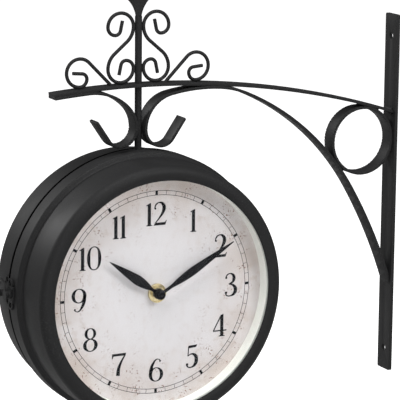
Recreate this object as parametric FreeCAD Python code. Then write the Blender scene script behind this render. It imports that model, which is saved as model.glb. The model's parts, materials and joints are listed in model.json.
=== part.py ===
import FreeCAD, Part
import math
import os

from FreeCAD import Vector

# Double sided station clock that hangs from a scrolled wall bracket.
# +Z is up and the wall is the plane X = 0.  The clock hangs on the -X side, its front
# dial looks along -Y and its rear dial along +Y.  The origin is halfway between the two
# screw holes of the wall bar, on the wall.  The rear half of the case is a door: it is
# hinged at three o'clock and a hook at nine o'clock holds it shut.

# --- wall bar ---------------------------------------------------------------
BAR_HEIGHT = 318.0
BAR_WIDTH = 20.0
BAR_THICK = 3.0
BAR_CORNER = 1.5
SCREW_HOLE_R = 3.0
SCREW_HOLE_EDGE = 19.0

# --- flat bar work: arm, brace, scrolls and ring ----------------------------
FLAT_WIDTH = 15.0
FLAT_THICK = 2.5
REACH = 241.5
ARM_RISE = 112.8
ARM_R = 800.0
ARM_TAIL = 77.5

# brace: two bends from its crown under the arm, then one arc to its foot
BRACE_UPPER_R = 83.0
BRACE_UPPER_TURN = 17.7
BRACE_MIDDLE_R = 222.0
BRACE_MIDDLE_TURN = 36.0
BRACE_FOOT_DROP = 76.7

# scrolls on both sides of the stem
RIGHT_CROWN_R = 151.0
RIGHT_CROWN_TURN = 17.3
RIGHT_SHOULDER_R = 29.5
LEFT_CROWN_R = 46.6
LEFT_CROWN_TURN = 46.5
LEFT_SHOULDER_R = 26.5
CURL_SIDE_R = 14.6
CURL_END_R = 12.0
CURL_END_TURN = 56.0
CURL_TIP = 20.5

# --- round work: stem and wire scrolls --------------------------------------
STEM_R = 3.0
STEM_TOP_RISE = 56.0
HANG = 170.3
STUD_R = 2.0
STUD_NUT_ACROSS = 7.0
STUD_NUT_THICK = 3.2
STUD_WASHER_R = 4.0
STUD_WASHER_THICK = 0.8
STUD_END = 1.5
WIRE_R = 1.5
S_LOOP_R = 11.5
S_WAIST_R = 16.5
S_WAIST_TURN = 49.4
S_WAIST_RUN = 7.5
CURL_LOOP_R = 6.8
CURL_EYE_R = 4.6
CURL_EYE_TURN = 78.0
WIRE_TIP = 8.5
OUTER_AT = 52.8
OUTER_LOOP_R = 11.7
OUTER_TURN = 225.5
OUTER_INNER_R = 6.4
OUTER_EYE_TURN = 85.0

# --- finial, cut from sheet -------------------------------------------------
FINIAL_THICK = 3.0
FINIAL_NECK = 2.2
FINIAL_FLARE_HALF = 10.8
FINIAL_FLARE_RISE = 15.0
FINIAL_HALF = 20.0
FINIAL_SHOULDER = 19.0
FINIAL_HEIGHT = 60.0

# --- welds ------------------------------------------------------------------
BEAD_R = 1.6
BEAD_LENGTH = 10.8
BEAD_TURN = 13.0

# --- case -------------------------------------------------------------------
SHEET = 1.0
MID_Y = -4.7
HALF_DEPTH = 49.4
SKIRT_R = 114.6
SKIRT_BACK = 7.9
SKIRT_FRONT = 6.8
SKIRT_STEP = 4.2
SKIRT_SLOPE = 60.0
LAP = 9.2
LAP_GAP = 0.6
RIM_SHOWN = 2.0
RIM_STEP = 1.7
RIM_SLOPE = 45.0
STEP_IN_R = 1.6
STEP_OUT_R = 3.0
FLANK_LEAN = 2.0
FLANK_TURN = 7.5
CORNER_R = 6.5
LIP_BEND_R = 8.2
LIP_TURN = 38.5

# --- glass, spacer ring and dial --------------------------------------------
GLASS_LAP = 3.6
GLASS_THICK = 2.0
GLASS_EDGE = 0.5
SEAT_GAP = 0.05
RING_SHOWN = 0.4
RING_WALL = 1.2
RING_SETBACK = 0.5
DIAL_LAP = 1.3
DIAL_THICK = 0.8
DIAL_DEPTH = 12.3
CLIP_COUNT = 4
CLIP_ANGLE = 7.0
CLIP_THICK = 1.2
CLIP_FOOT = 12.0
CLIP_LAP = 3.2

# --- movement and hands -----------------------------------------------------
MOVEMENT_SIDE = 56.0
MOVEMENT_DEPTH = 15.5
MOVEMENT_CORNER = 5.0
MOVEMENT_BACK = 4.0
BUSH_R = 3.9
BUSH_OUT = 5.0
DIAL_NUT_R = 8.0
DIAL_NUT_THICK = 2.5
DIAL_WASHER_R = 6.5
DIAL_WASHER_THICK = 0.6
TUBE_R = 2.6
SHAFT_R = 1.6
RUN_GAP = 0.05
HAND_THICK = 0.8
HAND_LIFT = 0.7
HAND_SPACE = 1.2
NECK_HALF = 1.3
COLLET_R = 4.4
HOUR_LENGTH = 54.5
HOUR_HALF = 4.2
MINUTE_LENGTH = 78.0
MINUTE_HALF = 3.6
TIP_HALF = 0.25
SHAFT_STUB = 1.0
CAP_R = 4.0
CAP_HEIGHT = 3.2
BATTERY_R = 7.1
BATTERY_LENGTH = 49.5
BATTERY_TIP_R = 2.6
BATTERY_TIP = 1.0
BAY_WALL = 3.0
BAY_GAP = 0.6
KNOB_R = 6.0
KNOB_THICK = 3.0
KNOB_AXLE_R = 1.5
KNOB_AXLE = 6.0
KNOB_GAP = 0.4
KNOB_OFFSET = 13.0
KNOB_TEETH = 12
TOOTH_R = 0.7
HOUR_TURN = 305.0
MINUTE_TURN = 60.0

# --- hinge at three o'clock -------------------------------------------------
HINGE_HEIGHT = 30.0
KNUCKLE_R = 2.4
KNUCKLE_GAP = 0.3
HINGE_PIN_R = 1.2
PIN_HEAD = 0.8
LEAF_THICK = 1.2
LEAF_WIDTH = 10.0
LEAF_BACK = 5.4
SKIRT_EDGE = 0.5
RIVET_R = 1.6
RIVET_RISE = 1.0
RIVET_STEP = 9.0

# --- latch at nine o'clock --------------------------------------------------
PLATE_THICK = 1.2
PLATE_WIDTH = 11.0
PLATE_HALF = 7.0
PLATE_SPACE = 4.9
PLATE_CURL_R = 3.4
PLATE_CURL_TURN = 200.0
PLATE_CURL_NECK = 2.2
PLATE_BAND = 1.8
PLATE_BALL_R = 1.5
KEEPER_R = 3.4
KEEPER_RISE = 3.4
HOOK_THICK = 1.8
HOOK_BAND = 3.4
HOOK_ARCH_R = 8.5
HOOK_EYE_R = 3.6
HOOK_END_R = 4.1
HOOK_PIN_R = 1.5
HOOK_BOSS_R = 2.8
HOOK_GAP = 0.4
HOOK_LEG = 4.0
LATCH_UP = 2.0

# --- places that follow from the sizes above ---------------------------------
AXIS_Y = Vector(0, 1, 0)
STEM_X = -(BAR_THICK + REACH)
CLOCK_Z = ARM_RISE - HANG
FLAT_HALF = FLAT_THICK / 2.0
FLAT_FRONT = Vector(0, -FLAT_WIDTH / 2.0, 0)
LIP_INSIDE = (LIP_BEND_R - SHEET / 2.0) * math.cos(math.radians(LIP_TURN))
GLASS_FACE = HALF_DEPTH - SHEET / 2.0 - LIP_BEND_R + LIP_INSIDE - SEAT_GAP
GLASS_BACK = GLASS_FACE - GLASS_THICK
DIAL_FACE = GLASS_BACK - DIAL_DEPTH
DIAL_BACK = DIAL_FACE - DIAL_THICK
MOVEMENT_LOW = DIAL_BACK - MOVEMENT_DEPTH
BUSH_TOP = DIAL_FACE + BUSH_OUT
HOUR_LEVEL = BUSH_TOP + HAND_LIFT
MINUTE_LEVEL = HOUR_LEVEL + HAND_THICK + HAND_SPACE
MINUTE_TOP = MINUTE_LEVEL + HAND_THICK
SEAM_Y = MID_Y + SKIRT_BACK
HINGE_X = SKIRT_R + KNUCKLE_GAP + KNUCKLE_R
HINGE_Y = SEAM_Y + 1.0
KNUCKLE = HINGE_HEIGHT / 3.0
PLATE_FRONT_X = -(SKIRT_R + SEAT_GAP)
PLATE_TOP_X = PLATE_FRONT_X - PLATE_THICK
PLATE_FRONT_Y = SEAM_Y - SKIRT_EDGE - PLATE_WIDTH / 2.0
PLATE_REAR_Y = SEAM_Y + PLATE_SPACE + PLATE_WIDTH / 2.0
HOOK_BACK_X = PLATE_TOP_X - KEEPER_RISE - HOOK_GAP
HOOK_FACE_X = HOOK_BACK_X - HOOK_THICK
PIVOT_Y = PLATE_FRONT_Y + 2.0 * HOOK_ARCH_R
PIVOT_Z = LATCH_UP - 2.0


def save(name, *solids):
    """Write the solids of one piece, or one set of alike pieces, to its STEP file."""
    shape = solids[0] if len(solids) == 1 else Part.makeCompound(list(solids))
    shape.exportStep("parts/" + name + ".step")


# --- lines and arcs that run on from each other -------------------------------
def turned(u, v, angle):
    a = math.radians(angle)
    return u * math.cos(a) - v * math.sin(a), u * math.sin(a) + v * math.cos(a)


def walk(start, heading, moves):
    """Follow moves in a plane: ("line", length) or ("arc", radius, turn), left turns positive."""
    run = []
    for move in moves:
        ahead = turned(1.0, 0.0, heading)
        if move[0] == "line":
            end = (start[0] + move[1] * ahead[0], start[1] + move[1] * ahead[1])
            step = {"from": start, "to": end, "heading": heading, "turn": 0.0}
        else:
            radius, turn = move[1], move[2]
            side = math.copysign(radius, turn)
            centre = (start[0] - ahead[1] * side, start[1] + ahead[0] * side)
            spoke = turned(start[0] - centre[0], start[1] - centre[1], turn)
            end = (centre[0] + spoke[0], centre[1] + spoke[1])
            step = {"from": start, "to": end, "heading": heading, "turn": turn}
            step.update(centre=centre, radius=radius)
        run.append(step)
        start = end
        heading += step["turn"]
    return run


def backwards(run):
    """The same run walked from its other end."""
    back = []
    for step in reversed(run):
        heading = step["heading"] + step["turn"] + 180.0
        back.append({**step, "from": step["to"], "to": step["from"], "heading": heading,
                     "turn": -step["turn"]})
    return back


def arc_to(start, heading, end):
    """The arc move that leaves start along a heading and ends at a point."""
    ahead = turned(1.0, 0.0, heading)
    du, dv = end[0] - start[0], end[1] - start[1]
    turn = 2.0 * math.atan2(ahead[0] * dv - ahead[1] * du, ahead[0] * du + ahead[1] * dv)
    return "arc", math.hypot(du, dv) / (2.0 * math.sin(abs(turn) / 2.0)), math.degrees(turn)


def beside(step, shift, place):
    """The edge that runs along one step, shifted to its left."""
    if step["turn"] == 0.0:
        ahead = turned(1.0, 0.0, step["heading"])
        ends = [place(p[0] - ahead[1] * shift, p[1] + ahead[0] * shift)
                for p in (step["from"], step["to"])]
        return Part.LineSegment(*ends).toShape()
    centre, radius = step["centre"], step["radius"]
    scale = 1.0 - math.copysign(shift, shift * step["turn"]) / radius
    points = []
    for share in (0.0, 0.5, 1.0):
        spoke = turned(step["from"][0] - centre[0], step["from"][1] - centre[1], step["turn"] * share)
        points.append(place(centre[0] + spoke[0] * scale, centre[1] + spoke[1] * scale))
    return Part.Arc(*points).toShape()


def band(run, thick, place):
    """Face of even thickness that follows a run."""
    left = [beside(step, thick / 2.0, place) for step in run]
    right = [beside(step, -thick / 2.0, place) for step in run]
    first = Part.LineSegment(left[0].firstVertex().Point, right[0].firstVertex().Point)
    last = Part.LineSegment(left[-1].lastVertex().Point, right[-1].lastVertex().Point)
    edges = left + right + [first.toShape(), last.toShape()]
    return Part.Face(Part.Wire(Part.__sortEdges__(edges)))


# --- bracket ----------------------------------------------------------------
def in_bracket(u, v):
    """Plane of the bracket: u from the stem to the wall, v up from the dial centre."""
    return Vector(STEM_X + u, 0, CLOCK_Z + v)


def flat_bar(run):
    """Flat bar bent along a run, with its width across the wall bar."""
    face = band(run, FLAT_THICK, in_bracket)
    face.translate(FLAT_FRONT)
    return face.extrude(Vector(0, FLAT_WIDTH, 0)).removeSplitter()


def round_rod(run, radius):
    """Round wire bent along a run."""
    ahead = turned(1.0, 0.0, run[0]["heading"])
    circle = Part.makeCircle(radius, in_bracket(*run[0]["from"]), Vector(ahead[0], 0, ahead[1]))
    path = Part.Wire([beside(step, 0.0, in_bracket) for step in run])
    return path.makePipeShell([Part.Wire(circle)], True, False)


def mirrored(shape):
    """The same piece on the other side of the stem."""
    return shape.mirror(Vector(STEM_X, 0, 0), Vector(1, 0, 0))


def behind_bar_face():
    """All the space from the front of the wall bar into the wall."""
    corner = Vector(-BAR_THICK, -BAR_WIDTH, -BAR_HEIGHT)
    return Part.makeBox(BAR_THICK + 2.0 * BAR_WIDTH, 2.0 * BAR_WIDTH, 2.0 * BAR_HEIGHT, corner)


def wall_bar():
    corner = Vector(-BAR_THICK, -BAR_WIDTH / 2.0, -BAR_HEIGHT / 2.0)
    bar = Part.makeBox(BAR_THICK, BAR_WIDTH, BAR_HEIGHT, corner)
    bar = bar.makeFillet(BAR_CORNER, [e for e in bar.Edges if e.Length < BAR_THICK + 1e-6])
    for side in (-1.0, 1.0):
        z = side * (BAR_HEIGHT / 2.0 - SCREW_HOLE_EDGE)
        start = Vector(-BAR_THICK, 0, z)
        bar = bar.cut(Part.makeCylinder(SCREW_HOLE_R, BAR_THICK, start, Vector(1, 0, 0)))
    return bar


def arm_point(u, depth):
    """Point of the bracket plane that lies depth under the arm's upper face at u."""
    r = ARM_R - depth
    return u, HANG - ARM_R + math.sqrt(r ** 2 - u ** 2)


def arm_slope(u, depth):
    return math.degrees(math.asin(u / (ARM_R - depth)))


def arm():
    """Long flat bar with an even bow that the stem passes through."""
    slope = arm_slope(ARM_TAIL, FLAT_HALF)
    sweep = slope + arm_slope(REACH + FLAT_WIDTH, FLAT_HALF)
    run = walk(arm_point(-ARM_TAIL, FLAT_HALF), slope, [("arc", ARM_R - FLAT_HALF, -sweep)])
    hole = Part.makeCylinder(STEM_R + RUN_GAP, 4.0 * FLAT_THICK, in_bracket(0, HANG - 3.0 * FLAT_THICK))
    return flat_bar(run).cut(behind_bar_face()).cut(hole)


def scroll_run(crown_r, crown_turn, shoulder_r):
    """Run of a scroll from its crown under the arm, down the stem and round to its tip."""
    depth = FLAT_THICK + FLAT_HALF
    crown = crown_r
    for _ in range(12):
        slope = arm_slope(crown, depth)
        run = walk(arm_point(crown, depth), 180.0 - slope, [
            ("arc", crown_r, crown_turn),
            ("arc", shoulder_r, 90.0 + slope - crown_turn),
            ("arc", CURL_SIDE_R, 90.0),
            ("arc", CURL_END_R, CURL_END_TURN),
            ("line", CURL_TIP),
        ])
        # slide the crown until the vertical part lies against the stem
        crown += STEM_R + FLAT_HALF - run[1]["to"][0]
    return run


def brace_run():
    """Right scroll that runs on from its crown as the long brace to the wall bar."""
    scroll = scroll_run(RIGHT_CROWN_R, RIGHT_CROWN_TURN, RIGHT_SHOULDER_R)
    upper = walk(scroll[0]["from"], scroll[0]["heading"] - 180.0, [
        ("arc", BRACE_UPPER_R, -BRACE_UPPER_TURN),
        ("arc", BRACE_MIDDLE_R, -BRACE_MIDDLE_TURN),
    ])
    knee = upper[-1]["to"]
    heading = upper[-1]["heading"] + upper[-1]["turn"]
    foot = (REACH, -BRACE_FOOT_DROP - CLOCK_Z)
    lower = walk(knee, heading, [arc_to(knee, heading, foot), ("line", 4.0 * FLAT_THICK)])
    return backwards(scroll) + upper + lower


def brace():
    return flat_bar(brace_run()).cut(behind_bar_face())


def left_scroll():
    """Left scroll, whose upper end lies flat under the tail of the arm."""
    scroll = scroll_run(LEFT_CROWN_R, LEFT_CROWN_TURN, LEFT_SHOULDER_R)
    depth = FLAT_THICK + FLAT_HALF
    sweep = arm_slope(ARM_TAIL, depth) - arm_slope(scroll[0]["from"][0], depth)
    tail = walk(scroll[0]["from"], scroll[0]["heading"] - 180.0, [("arc", ARM_R - depth, -sweep)])
    return mirrored(flat_bar(backwards(scroll) + tail))


def ring_circle():
    """Centre and radius of the ring that touches the wall bar, the arm and the brace."""
    line = Part.Wire([beside(step, 0.0, in_bracket) for step in brace_run()])
    small, large = FLAT_THICK, REACH / 3.0
    for _ in range(30):
        radius = (small + large) / 2.0
        centre = arm_point(REACH - radius, FLAT_THICK + radius)
        room = line.distToShape(Part.Vertex(in_bracket(*centre)))[0] - FLAT_HALF - SEAT_GAP
        small, large = (radius, large) if room > radius else (small, radius)
    return centre, radius


def corner_ring():
    centre, radius = ring_circle()
    base = in_bracket(*centre) + FLAT_FRONT
    outer = Part.makeCylinder(radius, FLAT_WIDTH, base, AXIS_Y)
    return outer.cut(Part.makeCylinder(radius - FLAT_THICK, FLAT_WIDTH, base, AXIS_Y))


def case_solid():
    """Solid drum of the case's greatest radius, to seat pieces on."""
    base = in_bracket(0, 0) - Vector(0, SKIRT_R, 0)
    return Part.makeCylinder(SKIRT_R, 2.0 * SKIRT_R, base, AXIS_Y)


def washer_top():
    """Height at which a flat washer meets the inside of the round skirt."""
    return math.sqrt((SKIRT_R - SHEET) ** 2 - STUD_WASHER_R ** 2)


def stem():
    """Rod from the finial to the case, with a thinner stud that takes the nut inside."""
    rod = Part.makeCylinder(STEM_R, HANG + STEM_TOP_RISE, in_bracket(0, 0)).cut(case_solid())
    low = washer_top() - STUD_WASHER_THICK - STUD_NUT_THICK - STUD_END
    return rod.fuse(Part.makeCylinder(STUD_R, HANG - low, in_bracket(0, low))).removeSplitter()


def stem_washer():
    base = in_bracket(0, washer_top() - STUD_WASHER_THICK)
    ring = Part.makeCylinder(STUD_WASHER_R, STUD_WASHER_THICK, base)
    return ring.cut(Part.makeCylinder(STUD_R + RUN_GAP, STUD_WASHER_THICK, base))


def stem_nut():
    base = in_bracket(0, washer_top() - STUD_WASHER_THICK - STUD_NUT_THICK)
    reach = STUD_NUT_ACROSS / (2.0 * math.cos(math.radians(30.0)))
    corners = [base + Vector(*turned(reach, 0.0, 60.0 * k), 0) for k in range(7)]
    nut = Part.Face(Part.makePolygon(corners)).extrude(Vector(0, 0, STUD_NUT_THICK))
    return nut.cut(Part.makeCylinder(STUD_R, STUD_NUT_THICK, base))


def finial():
    """Spear leaf that flares out from the top of the stem."""
    def at(u, v):
        return in_bracket(u, HANG + STEM_TOP_RISE + v) - Vector(0, FINIAL_THICK / 2.0, 0)

    neck, flare, rise = FINIAL_NECK, FINIAL_FLARE_HALF, FINIAL_FLARE_RISE
    half, low, top = FINIAL_HALF, FINIAL_SHOULDER, FINIAL_HEIGHT
    waist = 0.5 * (top + low)
    edges = [Part.LineSegment(at(-neck, 0), at(neck, 0)).toShape()]
    for s in (-1.0, 1.0):
        edges += [
            Part.Arc(at(s * neck, 0), at(s * 0.4 * flare, 0.45 * rise), at(s * flare, rise)).toShape(),
            Part.Arc(at(s * flare, rise), at(s * 0.78 * half, 0.93 * low), at(s * half, low)).toShape(),
            Part.Arc(at(s * half, low), at(s * 0.93 * half, 0.7 * waist), at(s * 0.56 * half, 0.93 * waist)
                     ).toShape(),
            Part.Arc(at(s * 0.56 * half, 0.93 * waist), at(s * 0.2 * half, 0.8 * top), at(0, top)).toShape(),
        ]
    face = Part.Face(Part.Wire(Part.__sortEdges__(edges)))
    return face.extrude(Vector(0, FINIAL_THICK, 0))


def s_scroll():
    """Wire S that stands on the arm and leans on the stem, on the wall side."""
    across = STEM_R + WIRE_R + S_LOOP_R
    above = arm_point(across, 0.0)[1] + WIRE_R + S_LOOP_R
    side = (across + S_LOOP_R, above)
    up = walk(side, 90.0, [("arc", S_WAIST_R, S_WAIST_TURN), ("line", S_WAIST_RUN)])
    down = walk(side, -90.0, [
        ("arc", S_LOOP_R, -180.0),
        ("arc", CURL_LOOP_R, -90.0),
        ("arc", CURL_EYE_R, -CURL_EYE_TURN),
        ("line", WIRE_TIP),
    ])
    lower = round_rod(backwards(down) + up, WIRE_R)
    upper = lower.copy()
    upper.rotate(in_bracket(*up[-1]["to"]), AXIS_Y, 180.0)
    return lower.fuse(upper).removeSplitter().cut(arm())


def outer_scroll():
    """Wire scroll further out, with a straight foot that comes down to the arm."""
    bottom = (OUTER_AT, arm_point(OUTER_AT, 0.0)[1] + WIRE_R)
    eye = walk(bottom, 180.0, [
        ("arc", OUTER_INNER_R, -90.0),
        ("arc", CURL_EYE_R, -OUTER_EYE_TURN),
        ("line", WIRE_TIP),
    ])
    loop = walk(bottom, 0.0, [("arc", OUTER_LOOP_R, OUTER_TURN)])
    down = math.radians(OUTER_TURN - 180.0)
    top = loop[-1]["to"]
    length = (top[1] - arm_point(top[0] / 2.0, FLAT_HALF)[1]) / math.sin(down)
    foot = walk(top, OUTER_TURN, [("line", length)])
    return round_rod(backwards(eye) + loop + foot, WIRE_R).cut(arm())


def weld_beads():
    """Short beads of weld where the ring, the arm, the brace and the wall bar meet."""
    (u, v), radius = ring_circle()
    line = Part.Wire([beside(step, 0.0, in_bracket) for step in brace_run()])
    near = line.distToShape(Part.Vertex(in_bracket(u, v)))[1][0][0] - in_bracket(u, v)
    touches = [0.0, 90.0 - arm_slope(u, FLAT_THICK + radius), math.degrees(math.atan2(near.z, near.x))]
    spots = [(REACH, arm_point(REACH, 0.0)[1]), (REACH, arm_point(REACH, FLAT_THICK)[1])]
    for turn in (-BEAD_TURN, BEAD_TURN):
        for towards in touches:
            spoke = turned(radius + BEAD_R / 4.0, 0.0, towards + turn)
            spots.append((u + spoke[0], v + spoke[1]))
    beads = []
    for a, b in spots:
        base = in_bracket(a, b) - AXIS_Y * (BEAD_LENGTH / 2.0)
        bead = Part.makeCylinder(BEAD_R, BEAD_LENGTH, base, AXIS_Y)
        for bar in (behind_bar_face(), arm(), brace(), corner_ring()):
            bead = bead.cut(bar)
        beads += bead.Solids
    return beads


# --- case -------------------------------------------------------------------
def at_half(front):
    """Profile plane of one half: r from the dial axis, depth out from the mid plane."""
    way = -1.0 if front else 1.0

    def place(r, depth):
        return Vector(STEM_X + r, MID_Y + way * depth, CLOCK_Z)

    return place


def spin(face, angle=360.0, start=0.0):
    """Turn a profile about the dial axis."""
    centre = in_bracket(0, 0)
    face = face.copy()
    face.rotate(centre, AXIS_Y, start)
    return face.revolve(centre, AXIS_Y, angle)


def outline(points, place):
    corners = [place(r, depth) for r, depth in points]
    return Part.Face(Part.makePolygon(corners + corners[:1]))


def shell_run(front):
    """Run of one pressed half, from its rim over the bezel to the lip round the glass."""
    if front:
        rim, start, flat = SKIRT_R, -SKIRT_BACK, SKIRT_BACK + SKIRT_FRONT
        step, slope = SKIRT_STEP, SKIRT_SLOPE
    else:
        rim, start, flat = SKIRT_R - SHEET - LAP_GAP, SKIRT_BACK - LAP, LAP + RIM_SHOWN
        step, slope = RIM_STEP, RIM_SLOPE
    bent = (STEP_IN_R + STEP_OUT_R) * (1.0 - math.cos(math.radians(slope)))
    run = walk((rim - SHEET / 2.0, start), 90.0, [
        ("line", flat),
        ("arc", STEP_IN_R, slope),
        ("line", (step - bent) / math.sin(math.radians(slope))),
        ("arc", STEP_OUT_R, -slope - FLANK_LEAN),
    ])
    heading = 90.0 - FLANK_LEAN
    lean = math.radians(FLANK_TURN - FLANK_LEAN)
    crest = HALF_DEPTH - SHEET / 2.0
    flank = crest - CORNER_R * (1.0 - math.sin(lean)) - run[-1]["to"][1]
    flank_r = flank / (math.sin(lean) + math.sin(math.radians(FLANK_LEAN)))
    return run + walk(run[-1]["to"], heading, [
        ("arc", flank_r, FLANK_TURN),
        ("arc", CORNER_R, 90.0 - math.degrees(lean)),
        ("arc", LIP_BEND_R, LIP_TURN),
    ])


def flank_top(front):
    """Greatest outer radius of the bowed side wall."""
    flank = shell_run(front)[4]
    return flank["centre"][0] + flank["radius"] + SHEET / 2.0


def flank_inside(front, depth):
    """Inner radius of the side wall at a depth."""
    flank = shell_run(front)[4]
    rise = depth - flank["centre"][1]
    return flank["centre"][0] + math.sqrt((flank["radius"] - SHEET / 2.0) ** 2 - rise ** 2)


def front_shell():
    """Front half: its skirt laps over the rear half and hangs from the stem."""
    shell = spin(band(shell_run(True), SHEET, at_half(True)))
    hole = Part.makeCylinder(STUD_R + RUN_GAP, 4.0 * SHEET, in_bracket(0, SKIRT_R - 3.0 * SHEET))
    return shell.cut(hole)


def rear_shell():
    """Rear half, the door, with a notch in its rim that clears the stem's nut."""
    shell = spin(band(shell_run(False), SHEET, at_half(False)))
    half = STUD_WASHER_R + LAP_GAP
    low = in_bracket(0, SKIRT_R - 2.0 * half)
    slot = Part.makeBox(2.0 * half, LAP, 2.0 * half, low - Vector(half, LAP, 0))
    return shell.cut(slot.fuse(Part.makeCylinder(half, 2.0 * half, low)))


def opening(front):
    """Radius of the round opening inside the rolled lip."""
    return shell_run(front)[-1]["to"][0]


def dial_radius(front):
    return opening(front) - RING_SHOWN + RING_WALL + DIAL_LAP


def glass(front):
    edge = opening(front) + GLASS_LAP
    points = [(0, GLASS_BACK), (edge, GLASS_BACK), (edge, GLASS_FACE - GLASS_EDGE),
              (edge - GLASS_EDGE, GLASS_FACE), (0, GLASS_FACE)]
    return spin(outline(points, at_half(front)))


def spacer_ring(front):
    """Flanged ring that keeps the dial away from the glass."""
    bore = opening(front) - RING_SHOWN
    wall, flange = bore + RING_WALL, opening(front) + GLASS_LAP - RING_SETBACK
    points = [(bore, DIAL_FACE), (wall, DIAL_FACE), (wall, GLASS_BACK - RING_WALL),
              (flange, GLASS_BACK - RING_WALL), (flange, GLASS_BACK), (bore, GLASS_BACK)]
    return spin(outline(points, at_half(front)))


def dial(front):
    bore = BUSH_R + RUN_GAP
    edge = dial_radius(front)
    points = [(bore, DIAL_BACK), (edge, DIAL_BACK), (edge, DIAL_FACE), (bore, DIAL_FACE)]
    return spin(outline(points, at_half(front)))


def dial_clips(front):
    """Angle clips on the side wall that press the dial against the ring."""
    foot = DIAL_BACK - CLIP_THICK - CLIP_FOOT
    wall = min(flank_inside(front, foot), flank_inside(front, DIAL_BACK)) - SEAT_GAP
    tip, low = dial_radius(front) - CLIP_LAP, DIAL_BACK - CLIP_THICK
    points = [(wall, foot), (wall, DIAL_BACK), (tip, DIAL_BACK), (tip, low),
              (wall - CLIP_THICK, low), (wall - CLIP_THICK, foot)]
    face = outline(points, at_half(front))
    turns = [360.0 * (k + 0.5) / CLIP_COUNT - CLIP_ANGLE / 2.0 for k in range(CLIP_COUNT)]
    return [spin(face, CLIP_ANGLE, turn) for turn in turns]


# --- movement and hands -------------------------------------------------------
def on_dial(shape, front):
    """Move a piece drawn on +Z, with twelve o'clock on +Y, onto the axis of one dial."""
    turn = FreeCAD.Rotation(Vector(1, 0, 0), 90.0)
    if not front:
        turn = FreeCAD.Rotation(Vector(0, 0, 1), 180.0).multiply(turn)
    shape = shape.copy()
    shape.Placement = FreeCAD.Placement(Vector(STEM_X, MID_Y, CLOCK_Z), turn).multiply(shape.Placement)
    return shape


def disc(radius, low, high, u=0.0, v=0.0):
    return Part.makeCylinder(radius, high - low, Vector(u, v, low))


def edge_circles(shape, level):
    """Round edges that lie flat at a level."""
    return [e for e in shape.Edges if abs(e.BoundBox.ZMin - level) < 1e-6
            and abs(e.BoundBox.ZMax - level) < 1e-6]


def bay_centre():
    """Middle of the battery across the movement."""
    return -MOVEMENT_SIDE / 2.0 + BAY_WALL + BAY_GAP + BATTERY_R


def movement(front):
    """Quartz movement with its bush, battery bay and bores for the hands and the knob."""
    side, low = MOVEMENT_SIDE, MOVEMENT_LOW
    body = Part.makeBox(side, side, MOVEMENT_DEPTH, Vector(-side / 2.0, -side / 2.0, low))
    uprights = [e for e in body.Edges if e.BoundBox.ZLength > MOVEMENT_DEPTH / 2.0]
    body = body.makeFillet(MOVEMENT_CORNER, uprights).fuse(disc(BUSH_R, DIAL_BACK, BUSH_TOP))
    length = BATTERY_LENGTH + BATTERY_TIP + 2.0 * RUN_GAP
    half = BATTERY_R + BAY_GAP
    bay = Part.makeBox(length, 2.0 * half, 2.0 * BATTERY_R,
                       Vector(-BATTERY_LENGTH / 2.0 - RUN_GAP, bay_centre() - half, low))
    bores = [
        disc(TUBE_R + RUN_GAP, low + MOVEMENT_BACK, BUSH_TOP),
        disc(SHAFT_R + RUN_GAP, low, low + MOVEMENT_BACK),
        disc(KNOB_AXLE_R + RUN_GAP, low, low + KNOB_AXLE, 0.0, KNOB_OFFSET),
    ]
    for hollow in [bay] + bores:
        body = body.cut(hollow)
    return on_dial(body, front)


def battery(front):
    """Round cell that lies at the bottom of its bay, half proud of the movement's back."""
    start = Vector(-BATTERY_LENGTH / 2.0, bay_centre(), MOVEMENT_LOW + BATTERY_R - SEAT_GAP)
    along = Vector(1, 0, 0)
    cell = Part.makeCylinder(BATTERY_R, BATTERY_LENGTH, start, along)
    tip = Part.makeCylinder(BATTERY_TIP_R, BATTERY_TIP, start + along * BATTERY_LENGTH, along)
    return on_dial(cell.fuse(tip), front)


def set_knob(front):
    """Toothed wheel on its own axle, behind the movement, that sets the hands."""
    high = MOVEMENT_LOW - KNOB_GAP
    knob = disc(KNOB_R, high - KNOB_THICK, high)
    for k in range(KNOB_TEETH):
        u, v = turned(KNOB_R, 0.0, 360.0 * k / KNOB_TEETH)
        knob = knob.cut(disc(TOOTH_R, high - KNOB_THICK, high, u, v))
    knob = knob.fuse(disc(KNOB_AXLE_R, high, MOVEMENT_LOW + KNOB_AXLE - KNOB_GAP))
    knob.translate(Vector(0, KNOB_OFFSET, 0))
    return on_dial(knob, front)


def dial_washer(front):
    high = DIAL_FACE + DIAL_WASHER_THICK
    ring = disc(DIAL_WASHER_R, DIAL_FACE, high).cut(disc(BUSH_R + RUN_GAP, DIAL_FACE, high))
    return on_dial(ring, front)


def dial_nut(front):
    low = DIAL_FACE + DIAL_WASHER_THICK
    high = low + DIAL_NUT_THICK
    nut = disc(DIAL_NUT_R, low, high)
    nut = nut.makeChamfer(DIAL_NUT_THICK / 4.0, edge_circles(nut, high))
    return on_dial(nut.cut(disc(BUSH_R + RUN_GAP, low, high)), front)


def leaf(length, half, level):
    """Leaf hand that points at twelve, on its round collet."""
    def at(u, v):
        return Vector(u, v, level)

    neck, belly = 0.16 * length, 0.46 * length
    edges = [Part.LineSegment(at(-NECK_HALF, 0), at(NECK_HALF, 0)).toShape(),
             Part.LineSegment(at(-TIP_HALF, length), at(TIP_HALF, length)).toShape()]
    for s in (-1.0, 1.0):
        edges += [
            Part.LineSegment(at(s * NECK_HALF, 0), at(s * NECK_HALF, neck)).toShape(),
            Part.Arc(at(s * NECK_HALF, neck), at(s * 0.86 * half, 0.32 * length),
                     at(s * half, belly)).toShape(),
            Part.Arc(at(s * half, belly), at(s * 0.62 * half, 0.72 * length),
                     at(s * TIP_HALF, length)).toShape(),
        ]
    plate = Part.Face(Part.Wire(Part.__sortEdges__(edges))).extrude(Vector(0, 0, HAND_THICK))
    return plate.fuse(disc(COLLET_R, level, level + HAND_THICK)).removeSplitter()


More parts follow.
